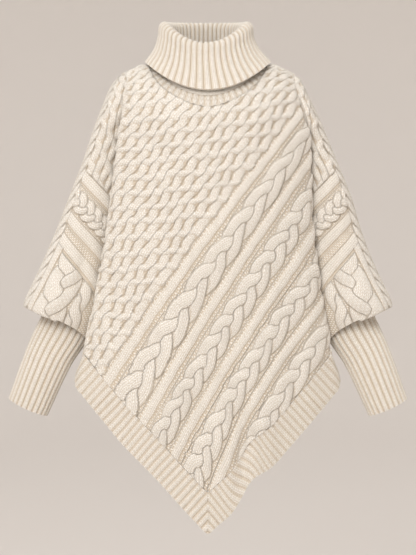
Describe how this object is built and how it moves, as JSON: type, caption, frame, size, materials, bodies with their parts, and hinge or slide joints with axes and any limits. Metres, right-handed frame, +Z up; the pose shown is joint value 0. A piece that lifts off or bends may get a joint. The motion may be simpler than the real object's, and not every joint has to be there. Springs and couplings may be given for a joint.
{
  "type": "cable knit poncho sweater",
  "caption": "Hollow worn form of a cable knit turtleneck sweater with a pointed poncho hem, bat-wing sleeves that blouse over long ribbed cuffs, and a turned-down ribbed collar.",
  "frame": {"origin": "middle of the neck opening at the height of the shoulders, where the wearer's neck holds the sweater up", "axes": "+Z up, +X to the viewer's right seen from the front, the front faces -Y"},
  "size_m": [0.7522, 0.2598, 0.9502],
  "materials": {
    "wool_knit": "matte cream wool"
  },
  "bodies": {
    "root": {"front": "wool_knit", "back": "wool_knit", "sleeve_left": "wool_knit", "sleeve_right": "wool_knit", "cuff_left": "wool_knit", "cuff_right": "wool_knit", "collar": "wool_knit", "hem_front_left": "wool_knit", "hem_front_right": "wool_knit", "hem_back_left": "wool_knit", "hem_back_right": "wool_knit"}
  },
  "joints": []
}
